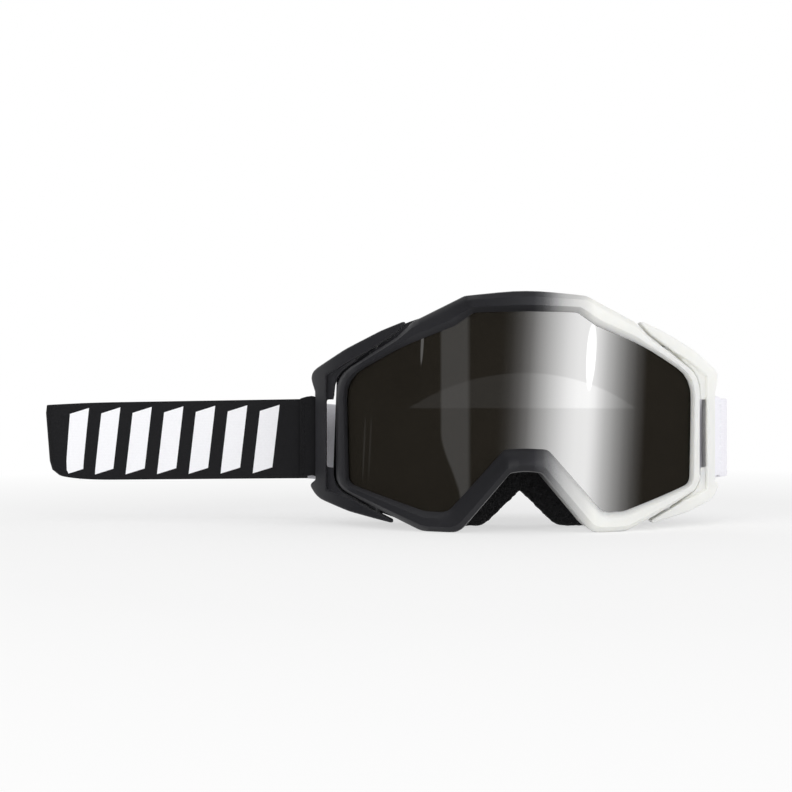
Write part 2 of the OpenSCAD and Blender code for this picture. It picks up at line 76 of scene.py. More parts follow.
# Plan of the strap, in millimetres: bars, directions in which the band leaves them, and the bend
BAR_X, BAR_Y, STRAP_Z = 93.2, 66.48, 39.3
LEFT_DIR = Vector((-1, 0.16)).normalized()
RIGHT_LEAN = 0.6
RIGHT_DIR = Vector((RIGHT_LEAN, 1)).normalized()
BEND_X, BEND_Y, FAR_Y, SEAM_X = -229.0, 88.21, 96.47, -215.0
BEND_RADII, FAR_RADIUS, FAR_TURN_X, FAR_STOP_X, SEAM_GAP = (7, 6), 24, 45, -84.5, 0.2
LAP_START, FRONT_LEG, REAR_LEG, FOLD_MID, FOLD_STEPS, BAND_OFF = 5.8, 9.0, 1.5, 2.5, 20, 0.7
BEAD_W, BEAD_T, BEAD_RISE, BEAD_RUN, BEAD_OFF = 3.0, 1.0, 11.0, (30.0, 90.0), 0.1
# Height of the band's middle by x, in millimetres, on the near layer and on the far one, which sags
NEAR_LINE = [(BEND_X, STRAP_Z - 2.3), (-BAR_X, STRAP_Z)]
FAR_LINE = [(x, STRAP_Z - sag) for x, sag in (
    (BEND_X, 2.3), (-115, 1.2), (-105, 1.5), (-92, 2.5), (-80, 3.5), (-68, 3.9), (FAR_TURN_X, 4),
    (BAR_X - 10, 1), (BAR_X, 0))]
# How much higher than the band a fold lies: round the bar, and on its front leg by distance from the bar
FOLD_REST = 0.5
FOLD_LINE = [(0, FOLD_REST), (3, 1.4), (6, 1), (FRONT_LEG, 0.1)]
# Stitches, in millimetres: lowest one from the band's middle, count, pitch and half sizes of a thread loop
FOLD_STITCHES = -17, 15, 2.5, (0.26, 0.26, 0.95)
SEAM_STITCHES = -17.6, 23, 1.6, (1.9, 0.22, 0.3)
# Distance of a fold's first row of stitches from its end, and of the second row from the first
FOLD_ROW_INSET, FOLD_ROW_GAP = 2.2, 1.3
# Where the dark band starts to lean toward its bend, and over what run, in metres
LEAN_FROM, LEAN_RUN = -0.195, 0.034
# Lean of the bend, in millimetres: how far it moves in and its top tips out; where its corners start, as a
# share of half the width, and how far they are cut back sideways and in height
LEAN_IN, LEAN_TIP, LOW_CORNER, HIGH_CORNER, LOW_CUT, HIGH_CUT = 0.7, 1.5, 0.55, 0.8, (4.5, 2.2), (1.0, 0.8)
# Frame's fade, in millimetres from the middle: where its black is painted darker toward the middle as
# painted shade, and where light starts to seep in
PAINTED_SHADE_RUN, SEEP_RUN = (-45, -10), (16, 32)
# Share of white by place along the fade
FADE = ((0.1, 0.004), (0.23, 0.05), (0.33, 0.16), (0.43, 0.34), (0.55, 0.53), (0.69, 0.67), (0.83, 0.77))
# Remeshing, in millimetres: cells, how far the yokes swell to make up for smoothing, and lumps in the foam
YOKE_CELL, YOKE_SWELL, FOAM_CELL, FOAM_LUMP = 0.45, 0.2, 0.9, 2.2
# How far the top filter's ends are drawn out, and how far they sink on the way, in millimetres
FILTER_REACH, FILTER_SINK = 4.2, 0.95
# Copies of CAD nodes: gap that is welded, and the angle under which faces count as one
WELD, FLAT = 2e-6, math.radians(0.6)


def srgb(*levels):
    """Linear colour of three 8-bit display levels."""
    shares = [v / 255 for v in levels]
    return tuple(s / 12.92 if s <= 0.04045 else ((s + 0.055) / 1.055) ** 2.4 for s in shares)


def colour(name, text, *levels):
    """A colour property whose default is given in display levels."""
    return bpy.props.FloatVectorProperty(
        name=name, description=text, subtype="COLOR", size=3, min=0, max=1, default=srgb(*levels))


def number(name, text, value, **more):
    """A number property."""
    return bpy.props.FloatProperty(name=name, description=text, default=value, **more)


def length(name, text, millimetres):
    """A length property whose default is given in millimetres."""
    return number(name, text, millimetres * MM, unit="LENGTH")


class GogglesFinish(bpy.types.PropertyGroup):
    """Colours of the goggles' pieces, and how they fade and let light in."""

    black: colour("Black plastic", "Soft-touch plastic of the left side", 40, 40, 43)
    # Painted shade: the black the frame turns to toward the middle, darker than the plain black
    painted_shade_black: colour("Deep black", "The frame's plastic just before it turns pale", 27, 27, 30)
    white: colour("White plastic", "Moulded plastic of the right side", 240, 240, 235)
    lens: colour("Lens tint", "Body colour of the mirror lens", 38, 35, 30)
    foam: colour("Foam", "Open-cell face foam", 23, 23, 24)
    fleece: colour("Fleece", "Fleece against the skin", 20, 20, 21)
    dark_band: colour("Dark elastic", "Threads of the dark band", 17, 17, 19)
    pale_band: colour("Pale elastic", "Threads of the pale band", 238, 237, 243)
    print: colour("Print", "Rubber print on the dark band", 245, 245, 248)
    silicone: colour("Silicone", "Grip beads inside the strap", 205, 205, 210)
    fade_start: length("Fade start", "Where the frame starts to turn pale, from the middle", 0)
    fade_end: length("Fade end", "Where the frame is fully pale, from the middle", 30)
    seep: number("Seep", "Share of light that seeps through pale plastic", 0.85)
    seep_depth: length("Seep depth", "How far light seeps through pale plastic", 7)


class GogglesStrap(bpy.types.PropertyGroup):
    """Sizes of the strap and its pattern."""

    width: length("Width", "Width of the elastic band", 38)
    thickness: length("Thickness", "Thickness of the elastic band", 1.5)
    bar_start: length("Bar start", "Distance from the sewn fold to the first slanted bar", 15.5)
    bar_pitch: length("Bar pitch", "Distance from one slanted bar to the next", 16)
    bar_width: length("Bar width", "Width of a slanted bar", 9.4)
    bar_height: length("Bar height", "Height of the slanted bars", 30)
    bars: bpy.props.IntProperty(name="Bars", description="Number of slanted bars", default=7, min=0)
    lean: number("Lean", "Sideways lean of the bars", 0.12)


class GogglesStage(bpy.types.PropertyGroup):
    """Light and background."""

    ambient: number("Ambient", "Soft light from all round", 0.57)
    key: number("Key", "Power of the main lamp", 6, unit="POWER")
    fill: number("Fill", "Power of the weaker lamp", 5.5, unit="POWER")


def finish():
    """The scene's colours."""
    return bpy.context.scene.goggles_finish


def strap():
    """The scene's strap sizes."""
    return bpy.context.scene.goggles_strap


# Modelling helpers

def activate(*objects):
    """Leaves only these objects selected, the first one active."""
    if bpy.context.object and bpy.context.object.mode != "OBJECT":
        bpy.ops.object.mode_set(mode="OBJECT")
    bpy.ops.object.select_all(action="DESELECT")
    for piece in objects:
        piece.select_set(True)
    bpy.context.view_layer.objects.active = objects[0]
    return objects[0]


def pick(piece, kind, test):
    """Edit mode, with only those vertices or faces of a piece selected that pass a test."""
    activate(piece)
    bpy.ops.object.mode_set(mode="EDIT")
    bpy.ops.mesh.select_mode(type=kind)
    bpy.ops.mesh.select_all(action="DESELECT")
    bpy.ops.object.mode_set(mode="OBJECT")
    for element in piece.data.vertices if kind == "VERT" else piece.data.polygons:
        element.select = test(element)
    bpy.ops.object.mode_set(mode="EDIT")


def apply_modifier(piece, kind, **settings):
    """Adds one modifier, sets it and applies it."""
    activate(piece)
    modifier = piece.modifiers.new(kind.title(), kind)
    for key, value in settings.items():
        setattr(modifier, key, value)
    bpy.ops.object.modifier_apply(modifier=modifier.name)


def smooth(piece, degrees):
    """Smooth shading, with an edge wherever faces meet at more than this angle."""
    activate(piece)
    bpy.ops.object.shade_smooth_by_angle(angle=math.radians(degrees))


def node_copy(node, name):
    """A copy of a CAD node with its triangles merged into quads, which then stands for the node."""
    activate(frame["nodes"][node])
    bpy.ops.object.duplicate()
    piece = bpy.context.object
    piece.name = piece.data.name = name
    bpy.ops.object.parent_clear(type="CLEAR_KEEP_TRANSFORM")
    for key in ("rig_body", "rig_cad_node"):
        del piece[key]
    bpy.ops.mesh.customdata_custom_splitnormals_clear()
    bpy.ops.object.mode_set(mode="EDIT")
    bpy.ops.mesh.select_all(action="SELECT")
    bpy.ops.mesh.remove_doubles(threshold=WELD)
    bpy.ops.mesh.dissolve_limited(angle_limit=FLAT)
    bpy.ops.mesh.tris_convert_to_quads(face_threshold=math.radians(50), shape_threshold=math.radians(60))
    bpy.ops.object.mode_set(mode="OBJECT")
    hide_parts(node)
    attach(piece, frame["nodes"][node]["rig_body"])
    return piece


def paint(piece, skin):
    """Leaves a piece with this material only."""
    piece.data.materials.clear()
    piece.data.materials.append(skin)


# Node helpers

class Tree:
    """Shorthand for adding and linking nodes in one tree."""

    def __init__(self, tree):
        self.tree = tree

    def add(self, kind, inputs=None, **settings):
        node = self.tree.nodes.new("ShaderNode" + kind)
        for key, value in settings.items():
            setattr(node, key, value)
        for key, value in (inputs or {}).items():
            self.feed(node.inputs[key], value)
        return node

    def feed(self, socket, value):
        if isinstance(value, bpy.types.NodeSocket):
            self.tree.links.new(value, socket)
        else:
            socket.default_value = value

    def math(self, operation, first, second=0.0):
        return self.add("Math", {0: first, 1: second}, operation=operation).outputs[0]

    def spread(self, value, low, high, start=0.0, end=1.0):
        return self.add("MapRange", {"Value": value, "From Min": start, "From Max": end,
                                     "To Min": low, "To Max": high}).outputs[0]

    def mix(self, share, first, second, blend="MIX"):
        """A blend of two colours, which are sockets 6 and 7 of the node and leave it by socket 2."""
        node = self.add("Mix", {0: share}, data_type="RGBA", blend_type=blend)
        for socket, value in ((node.inputs[6], first), (node.inputs[7], second)):
            self.feed(socket, value if isinstance(value, bpy.types.NodeSocket) else (*value, 1))
        return node.outputs[2]

    def bump(self, height, strength, distance):
        return self.add("Bump", {"Height": height, "Strength": strength, "Distance": distance}).outputs[0]


def effect(draw, control):
    """The node group that a function draws, made once: a place and one control in, height and tone out."""
    name = draw.__name__
    if name in bpy.data.node_groups:
        return bpy.data.node_groups[name]
    group = bpy.data.node_groups.new(name, "ShaderNodeTree")
    group.interface.new_socket("Vector", in_out="INPUT", socket_type="NodeSocketVector")
    group.interface.new_socket(control, in_out="INPUT", socket_type="NodeSocketFloat")
    for label in ("Height", "Tone"):
        group.interface.new_socket(label, in_out="OUTPUT", socket_type="NodeSocketFloat")
    tree = Tree(group)
    given = group.nodes.new("NodeGroupInput").outputs
    made = group.nodes.new("NodeGroupOutput").inputs
    for socket, value in zip(made, draw(tree, given[0], given[1])):
        tree.feed(socket, value)
    return group


def moulded_grain(tree, where, scale):
    """Fine spark-eroded grain and broad unevenness of moulded plastic."""
    fine = tree.add("TexNoise", {"Vector": where, "Scale": scale, "Detail": 2.0})
    broad = tree.add("TexNoise", {"Vector": where, "Scale": 70.0, "Detail": 3.0})
    return fine.outputs[0], broad.outputs[0]


def woven_elastic(tree, where, pitch):
    """Ribs and stitches of knitted elastic, on a map that is laid out in metres; the tone darkens the
    valleys between ribs as painted shade, and lint varies it at random.
    """
    axes = tree.add("SeparateXYZ", {0: where})
    along = tree.math("DIVIDE", axes.outputs[0], pitch)
    across = tree.math("DIVIDE", axes.outputs[1], pitch)
    odd = tree.math("MODULO", tree.math("ABSOLUTE", tree.math("FLOOR", across)), 2.0)
    shifted = tree.math("ADD", tree.math("MULTIPLY", along, 0.7), tree.math("MULTIPLY", odd, 0.5))
    loop = tree.math("ABSOLUTE", tree.math("SINE", tree.math("MULTIPLY", shifted, math.pi)))
    rib = tree.math("ABSOLUTE", tree.math("SINE", tree.math("MULTIPLY", across, math.pi)))
    height = tree.math("MULTIPLY", tree.math("SQRT", rib), tree.spread(loop, 0.55, 1.0))
    lint = tree.add("TexNoise", {"Vector": where, "Scale": 900.0, "Detail": 4.0})
    # Tone: painted shade in the valleys between ribs, times random lint
    tone = tree.math("MULTIPLY", tree.spread(height, 0.6, 1.0),
                     tree.spread(lint.outputs[0], 0.75, 1.25, 0.25, 0.75))
    return height, tone


def open_cells(tree, where, scale):
    """Pores of open-cell foam, or the tufts of fleece at a finer scale, with pores and hollows painted
    darker as painted shade.
    """
    cells = tree.add("TexVoronoi", {"Vector": where, "Scale": scale})
    lumps = tree.add("TexNoise", {"Vector": where, "Scale": 320.0, "Detail": 5.0})
    pore = tree.spread(cells.outputs["Distance"], 0.0, 1.0, 0.1, 0.7)
    height = tree.math("ADD", tree.math("MULTIPLY", pore, 0.7), lumps.outputs[0])
    # Tone: painted shade in the pores and in the hollows between lumps
    tone = tree.math("MULTIPLY", tree.spread(pore, 0.45, 1.15),
                     tree.spread(lumps.outputs[0], 0.55, 1.5, 0.3, 0.7))
    return height, tone


def material(name):
    """A new material, its tree and its Principled shader."""
    made = bpy.data.materials.new(name)
    made.use_nodes = True
    return made, Tree(made.node_tree), made.node_tree.nodes["Principled BSDF"]


def blank_material(name):
    """A new material that has no shader yet, and its tree."""
    made = bpy.data.materials.new(name)
    made.use_nodes = True
    made.node_tree.nodes.remove(made.node_tree.nodes["Principled BSDF"])
    return made, Tree(made.node_tree)


def looked_at(tree):
    """1 for rays that show a surface to the camera or in a mirror, 0 for those that only carry light."""
    path = tree.add("LightPath").outputs
    mirrored = tree.math("MAXIMUM", path["Is Glossy Ray"], path["Is Transmission Ray"])
    return tree.math("MAXIMUM", path["Is Camera Ray"], mirrored)


def place(tree, draw, where, **setting):
    """Puts a shared effect into a material with its one control set, and gives its height and tone."""
    (control, value), = setting.items()
    node = tree.add("Group", node_tree=effect(draw, control))
    tree.feed(node.inputs["Vector"], where)
    node.inputs[control].default_value = value
    return node.outputs["Height"], node.outputs["Tone"]


def toned(tree, base, tone, low, high):
    """A colour made a little darker and lighter by a tone."""
    dark = tuple(c * low for c in base)
    light = tuple(min(1.0, c * high) for c in base)
    return tree.mix(tone, dark, light)


def seeping(tree, shader, share):
    """Lets light enter pale plastic and leave it a little way off."""
    tree.feed(shader.inputs["Subsurface Weight"], share)
    shader.inputs["Subsurface Radius"].default_value = (1.0, 0.96, 0.88)
    shader.inputs["Subsurface Scale"].default_value = finish().seep_depth


def moulded(name):
    """A material with the grain of moulded plastic, whose colour and sheen are still to be set."""
    made, tree, shader = material(name)
    where = tree.add("TexCoord").outputs["Object"]
    height, tone = place(tree, moulded_grain, where, Scale=1900.0)
    shader.inputs["Specular IOR Level"].default_value = 0.2
    tree.feed(shader.inputs["Normal"], tree.bump(height, 0.25, 0.1 * MM))
    return made, tree, shader, where, tone


def plastic(name, base, rough, seep=0.0):
    """Moulded plastic of one colour with a slightly uneven sheen."""
    made, tree, shader, _, tone = moulded(name)
    tree.feed(shader.inputs["Base Color"], toned(tree, base, tone, 0.93, 1.06))
    tree.feed(shader.inputs["Roughness"], tree.spread(tone, rough - 0.06, rough + 0.06))
    seeping(tree, shader, seep)
    return made


def fading_plastic():
    """The frame's plastic, sprayed from black on the left to white on the right, its black painted darker
    toward the middle as painted shade.
    """
    look = finish()
    made, tree, shader, where, tone = moulded("frame_fade")
    mist = tree.add("TexNoise", {"Vector": where, "Scale": 2600.0, "Detail": 1.0}).outputs[0]
    x = tree.add("SeparateXYZ", {0: where}).outputs[0]
    share = tree.spread(x, 0.0, 1.0, look.fade_start, look.fade_end)
    # Painted shade: the frame's black turns darker from the left toward the middle
    dark = tree.mix(tree.spread(x, 0.0, 1.0, *(at * MM for at in PAINTED_SHADE_RUN)), look.black, look.painted_shade_black)
    ramp = tree.add("ValToRGB", {"Fac": tree.math("ADD", share, tree.spread(mist, -0.04, 0.04))})
    stops = ramp.color_ramp.elements
    stops[0].position, stops[0].color = 0.0, (*look.painted_shade_black, 1)
    stops[1].position, stops[1].color = 1.0, (*look.white, 1)
    for at, part in FADE:
        red, green, blue = [a + (b - a) * part for a, b in zip(look.painted_shade_black, look.white)]
        stops.new(at).color = (red, green, blue * (1.07 - 0.05 * part), 1)
    sprayed = tree.mix(tree.math("GREATER_THAN", x, look.fade_start), dark, ramp.outputs[0])
    uneven = tree.mix(tone, (0.94, 0.94, 0.94), (1.0, 1.0, 1.0))
    tree.feed(shader.inputs["Base Color"], tree.mix(1.0, sprayed, uneven, blend="MULTIPLY"))
    tree.feed(shader.inputs["Roughness"], tree.spread(tone, 0.4, 0.52))
    seeping(tree, shader, tree.spread(x, 0.0, look.seep, *(at * MM for at in SEEP_RUN)))
    return made


def mirror_lens():
    """Dark sheet with a mirror face."""
    made, tree, shader = material("mirror_lens")
    where = tree.add("TexCoord").outputs["Object"]
    haze = tree.add("TexNoise", {"Vector": where, "Scale": 45.0, "Detail": 4.0}).outputs[0]
    tree.feed(shader.inputs["Base Color"], toned(tree, finish().lens, haze, 0.85, 1.15))
    tree.feed(shader.inputs["Roughness"], tree.spread(haze, 0.0, 0.025))
    shader.inputs["IOR"].default_value = 2.0
    return made


def steel():
    """Drawn steel of the pivot pins."""
    made, tree, shader = material("pin_steel")
    where = tree.add("TexCoord").outputs["Object"]
    height, tone = place(tree, moulded_grain, where, Scale=900.0)
    tree.feed(shader.inputs["Base Color"], toned(tree, (0.55, 0.55, 0.56), tone, 0.8, 1.15))
    tree.feed(shader.inputs["Roughness"], tree.spread(height, 0.22, 0.4))
    shader.inputs["Metallic"].default_value = 1.0
    return made


def foam(name, base, scale, depth, sheen):
    """Open-cell foam or fleece."""
    made, tree, shader = material(name)
    where = tree.add("TexCoord").outputs["Object"]
    height, tone = place(tree, open_cells, where, Scale=scale)
    tree.feed(shader.inputs["Base Color"], toned(tree, base, tone, 0.35, 1.7))
    tree.feed(shader.inputs["Normal"], tree.bump(height, 0.9, depth))
    shader.inputs["Roughness"].default_value = 0.95
    shader.inputs["Specular IOR Level"].default_value = 0.2
    shader.inputs["Sheen Weight"].default_value = sheen
    return made


def elastic(name, base, contrast, pattern=False):
    """Knitted elastic; the pattern is a run of slanted bars in pale rubber print."""
    made, tree, shader = material(name)
    where = tree.add("UVMap", uv_map="run").outputs[0]
    height, tone = place(tree, woven_elastic, where, Pitch=0.8 * MM)
    threads = toned(tree, base, tone, *contrast)
    rough = 0.85
    if pattern:
        mask = printed_bars(tree, where, strap())
        threads = tree.mix(mask, threads, toned(tree, finish().print, tone, 0.9, 1.03))
        height = tree.math("ADD", tree.math("MULTIPLY", height, tree.spread(mask, 1.0, 0.3)),
                           tree.math("MULTIPLY", mask, 1.6))
        rough = tree.spread(mask, rough, 0.6)
    tree.feed(shader.inputs["Base Color"], threads)
    tree.feed(shader.inputs["Normal"], tree.bump(height, 0.35, 0.16 * MM))
    tree.feed(shader.inputs["Roughness"], rough)
    shader.inputs["Specular IOR Level"].default_value = 0.25
    shader.inputs["Sheen Weight"].default_value = 0.03
    return made


def printed_bars(tree, where, size):
    """Mask of a run of slanted bars with slanted ends along the band."""
    axes = tree.add("SeparateXYZ", {0: where})
    up = axes.outputs[1]
    slid = tree.math("ADD", axes.outputs[0], tree.math("MULTIPLY", up, size.lean))
    step = tree.math("DIVIDE", tree.math("SUBTRACT", slid, size.bar_start), size.bar_pitch)
    share = size.bar_width / size.bar_pitch
    inside = tree.math("MULTIPLY", tree.math("GREATER_THAN", step, 0.0),
                       tree.math("LESS_THAN", step, float(size.bars)))
    spot = tree.math("FRACT", step)
    bar = tree.math("LESS_THAN", spot, share)
    slant = 0.3 * size.bar_width / 2
    tilt = tree.spread(spot, slant, -slant, 0.0, share)
    off = tree.math("ABSOLUTE", tree.math("SUBTRACT", up, tilt))
    tall = tree.math("LESS_THAN", off, size.bar_height / 2)
    return tree.math("MULTIPLY", tree.math("MULTIPLY", inside, bar), tall)


def silicone():
    """Soft, slightly cloudy silicone of the grip beads."""
    made, tree, shader = material("grip_silicone")
    where = tree.add("TexCoord").outputs["Object"]
    height, tone = place(tree, moulded_grain, where, Scale=700.0)
    tree.feed(shader.inputs["Base Color"], toned(tree, finish().silicone, tone, 0.85, 1.05))
    tree.feed(shader.inputs["Normal"], tree.bump(height, 0.15, 0.1 * MM))
    shader.inputs["Roughness"].default_value = 0.28
    shader.inputs["Subsurface Weight"].default_value = 0.1
    return made


# Strap routes

def arc(corner, before, after, radius, steps=10):
    """Points of a rounded corner of a route in plan, which takes up less than half of each side."""
    u, v = (before - corner).normalized(), (after - corner).normalized()
    half = math.acos(max(-1.0, min(1.0, u.dot(v)))) / 2
    room = 0.48 * min((before - corner).length, (after - corner).length)
    cut = min(radius / math.tan(half), room)
    start, end = corner + u * cut, corner + v * cut
    points = []
    for i in range(steps + 1):
        t = i / steps
        points.append(start * (1 - t) ** 2 + corner * 2 * t * (1 - t) + end * t * t)
    return points


def filled(points, step):
    """The same route with extra points, so that no gap is longer than the step."""
    route = [points[0]]
    for a, b in zip(points, points[1:]):
        n = max(1, math.ceil((b - a).length / step))
        route += [a + (b - a) * (k / n) for k in range(1, n + 1)]
    return route


def lookup(x, table):
    """The value at x of a table of points that are joined by straight lines."""
    for (x0, z0), (x1, z1) in zip(table, table[1:]):
        if x <= x1:
            return z0 + (z1 - z0) * max(0.0, (x - x0) / (x1 - x0))
    return table[-1][1]


def near_z(x):
    """Height of the near layer's middle."""
    return lookup(x, NEAR_LINE)


def far_z(x):
    """Height of the far layer's middle."""
    return lookup(x, FAR_LINE)


def ribbon(name, route, heights, width, thickness, rows=8):
    """A band that stands on its edge: an upright line of edges, extruded along the route step by step."""
    bpy.ops.object.select_all(action="DESELECT")
    bpy.ops.mesh.primitive_grid_add(x_subdivisions=1, y_subdivisions=rows, size=width,
                                    rotation=(math.pi / 2, 0, 0))
    piece = bpy.context.object
    piece.name = piece.data.name = name
    bpy.ops.object.transform_apply(location=True, rotation=True, scale=True)
    pick(piece, "VERT", lambda vertex: vertex.co.x > 0)
    bpy.ops.mesh.delete(type="VERT")
    bpy.ops.mesh.select_all(action="SELECT")
    stops = [Vector((p.x * MM, p.y * MM, z * MM)) for p, z in zip(route, heights)]
    bpy.ops.transform.translate(value=stops[0] - Vector((-width / 2, 0, 0)))
    for here, there in zip(stops, stops[1:]):
        bpy.ops.mesh.extrude_region_move(TRANSFORM_OT_translate={"value": there - here})
    bpy.ops.mesh.select_all(action="SELECT")
    bpy.ops.mesh.normals_make_consistent(inside=False)
    bpy.ops.object.mode_set(mode="OBJECT")
    lay_map(piece, stops)
    apply_modifier(piece, "SOLIDIFY", thickness=thickness, offset=0.0, use_even_offset=True)
    apply_modifier(piece, "BEVEL", width=thickness * 0.32, segments=3, limit_method="ANGLE",
                   angle_limit=math.radians(60))
    smooth(piece, 50)
    return piece


def lay_map(piece, stops):
    """A map in metres: along the route, and up from the band's middle."""
    runs = [0.0]
    for here, there in zip(stops, stops[1:]):
        runs.append(runs[-1] + (there - here).to_2d().length)
    places = []
    for vertex in piece.data.vertices:
        k = min(range(len(stops)), key=lambda i: (stops[i].to_2d() - vertex.co.to_2d()).length_squared)
        places.append((runs[k], vertex.co.z - stops[k].z))
    layer = piece.data.uv_layers.new(name="run")
    for corner in piece.data.loops:
        layer.data[corner.index].uv = places[corner.vertex_index]


def turned(way):
    """A direction in plan, turned a quarter clockwise."""
    return Vector((way.y, -way.x))


def band_start():
    """Where the dark band starts, under the left fold."""
    return Vector((-BAR_X, BAR_Y)) + LEFT_DIR * LAP_START - turned(LEFT_DIR) * BAND_OFF


def fold_route(bar, direction, out):
    """The band's turn round a bar, from the sewn end in front to the short leg behind."""
    front = [bar + direction * FRONT_LEG + out * FOLD_MID]
    angles = [math.pi * i / FOLD_STEPS for i in range(FOLD_STEPS + 1)]
    turn = [bar + (out * math.cos(angle) - direction * math.sin(angle)) * FOLD_MID for angle in angles]
    return filled(front + turn + [bar + direction * REAR_LEG - out * FOLD_MID], step=1.2)


def fold_rise(along, across):
    """How much higher the fold lies than the band: most where the front leg comes to the arm."""
    if across < 0 or along < 0:
        return FOLD_REST
    return lookup(along, FOLD_LINE)


def stitch_row(name, start, count, step, size):
    """A row of thread loops, in millimetres: one modelled, the rest set out by an array."""
    bpy.ops.object.select_all(action="DESELECT")
    bpy.ops.mesh.primitive_uv_sphere_add(segments=8, ring_count=5, radius=MM)
    piece = bpy.context.object
    piece.name = piece.data.name = name
    bpy.ops.object.mode_set(mode="EDIT")
    bpy.ops.mesh.select_all(action="SELECT")
    bpy.ops.transform.resize(value=size)
    bpy.ops.transform.translate(value=Vector(start) * MM)
    bpy.ops.object.mode_set(mode="OBJECT")
    apply_modifier(piece, "ARRAY", count=count, use_relative_offset=False, use_constant_offset=True,
                   constant_offset_displace=Vector(step) * MM)
    smooth(piece, 60)
    return piece


# Operators

class GOGGLES_OT_stage(bpy.types.Operator):
    """Sets the camera, the floor, the lamps and what the mirror lens reflects"""

    bl_idname = "goggles.stage"
    bl_label = "Stage"

    # Camera: place, and focal length and sensor width in millimetres
    CAMERA_AT, CAMERA_LENS, CAMERA_SENSOR = (-0.0566, -0.650, 0.0596), 67.95, 36
    # Lamps: places, what they aim at, and size
    KEY_AT, FILL_AT, LAMP_AIM, LAMP_SIZE = (0.88, -0.64, 0.22), (-0.9, -0.7, 0.22), (-0.04, 0.03, 0.05), 0.6
    # Floor: its size, how far it lies below the goggles, and from where to where it turns plain white
    FLOOR_SIZE, FLOOR_DROP, FLOOR_FADE = 12, 0.0002, (0.25, 0.6)
    # Floor: greys of the paper that throws light back and of the one that is looked at, which also glows
    FLOOR_PAPER, FLOOR_PALE, FLOOR_GLOW = (0.9, 0.9, 0.9, 1), (0.42, 0.42, 0.42, 1), 0.6
    # Screen: radius, height, height of its middle, how far it reaches behind the goggles, and strength
    SCREEN_R, SCREEN_H, SCREEN_Z, SCREEN_END, SCREEN_POWER = 1.4, 1.8, 0.1, 0.6, 9.0
    # Softbox: brightness by direction in degrees from the front, and its lean about a height
    SOFTBOX = ((-9, 0.0), (-3.7, 0.013), (1.7, 0.05), (7, 0.12), (18, 0.4), (29, 0.68), (35, 0.77),
               (42, 0.79), (45, 0.72), (47.5, 0.61), (52, 0.43), (58.5, 0.25), (65, 0.12), (71.5, 0.04),
               (78, 0.0))
    SOFTBOX_LEAN, SOFTBOX_Z = 0.44, 0.102
    # Grey gap: turns of its left edge at two heights, turns over which it ends, softness and brightness
    GAP_LEFT, GAP_Z, GAP_RIGHT = (-0.745, -0.56), (0.012, -0.085), (-0.49, -0.45)
    GAP_SOFT, GAP_SHINE = 0.012, 0.036
    # Low dome: turn of its middle, half width, top, foot, softness, brightness, and gain on the softbox
    DOME_TURN, DOME_HALF, DOME_TOP, DOME_FOOT, DOME_SOFT = 0.07, 1.15, 0.091, 0.043, 0.0005
    DOME_SHINE, DOME_GAIN = 0.013, 1.15
    # Narrow lamps: turn, half width, height, reach up, reach down and brightness, then lean and bright core
    STREAKS = ((0.735, 0.052, 0.12, 0.04, 0.055, 0.5), (-0.94, 0.017, 0.13, 0.03, 0.03, 0.08),
               (-1.62, 0.012, -0.01, 0.046, 0.046, 0.012), (-1.54, 0.012, -0.005, 0.04, 0.05, 0.009))
    STREAK_LEAN, STREAK_CORE = 0.45, 0.6

    def execute(self, context):
        scene = context.scene
        light = scene.goggles_stage
        scene.view_settings.view_transform = "Standard"
        bpy.ops.object.camera_add(location=self.CAMERA_AT, rotation=(math.pi / 2, 0, 0))
        camera = context.object
        camera.data.sensor_width = self.CAMERA_SENSOR
        camera.data.lens = self.CAMERA_LENS
        camera.data.clip_start = 0.01
        scene.camera = camera
        self.floor()
        self.screen()
        self.sky(scene, light.ambient)
        self.lamp("key", self.KEY_AT, light.key)
        self.lamp("fill", self.FILL_AT, light.fill)
        return {"FINISHED"}

    def lamp(self, name, where, power):
        """A square lamp that points at the goggles and isn't mirrored."""
        bpy.ops.object.light_add(type="AREA", location=where)
        lamp = bpy.context.object
        lamp.name = "lamp_" + name
        lamp.data.size = self.LAMP_SIZE
        lamp.data.energy = power
        way = Vector(self.LAMP_AIM) - lamp.location
        lamp.rotation_euler = way.to_track_quat("-Z", "Y").to_euler()
        lamp.visible_glossy = False

    def floor(self):
        """A pale floor that carries a soft shadow and is plain white farther off."""
        bpy.ops.object.select_all(action="DESELECT")
        bpy.ops.mesh.primitive_plane_add(size=self.FLOOR_SIZE, location=(0, 0, -self.FLOOR_DROP))
        floor = bpy.context.object
        floor.name = "floor"
        floor.visible_glossy = False
        bpy.ops.object.transform_apply(location=True, rotation=True, scale=True)
        made, tree = blank_material("pale_floor")
        where = tree.add("TexCoord").outputs["Object"]
        away = tree.add("VectorMath", {0: where}, operation="LENGTH").outputs["Value"]
        far = tree.spread(away, 0.0, 1.0, *self.FLOOR_FADE)
        paper = tree.add("BsdfDiffuse", {"Color": self.FLOOR_PAPER}).outputs[0]
        pale = tree.add("BsdfDiffuse", {"Color": self.FLOOR_PALE}).outputs[0]
        glow = tree.add("Emission", {"Color": (1, 1, 1, 1), "Strength": self.FLOOR_GLOW}).outputs[0]
        white = tree.add("Emission", {"Color": (1, 1, 1, 1), "Strength": 1.0}).outputs[0]
        near = tree.add("AddShader", {0: pale, 1: glow}).outputs[0]
        shown = tree.add("MixShader", {0: far, 1: near, 2: white}).outputs[0]
        both = tree.add("MixShader", {0: looked_at(tree), 1: paper, 2: shown}).outputs[0]
        tree.feed(tree.tree.nodes["Material Output"].inputs["Surface"], both)
        paint(floor, made)

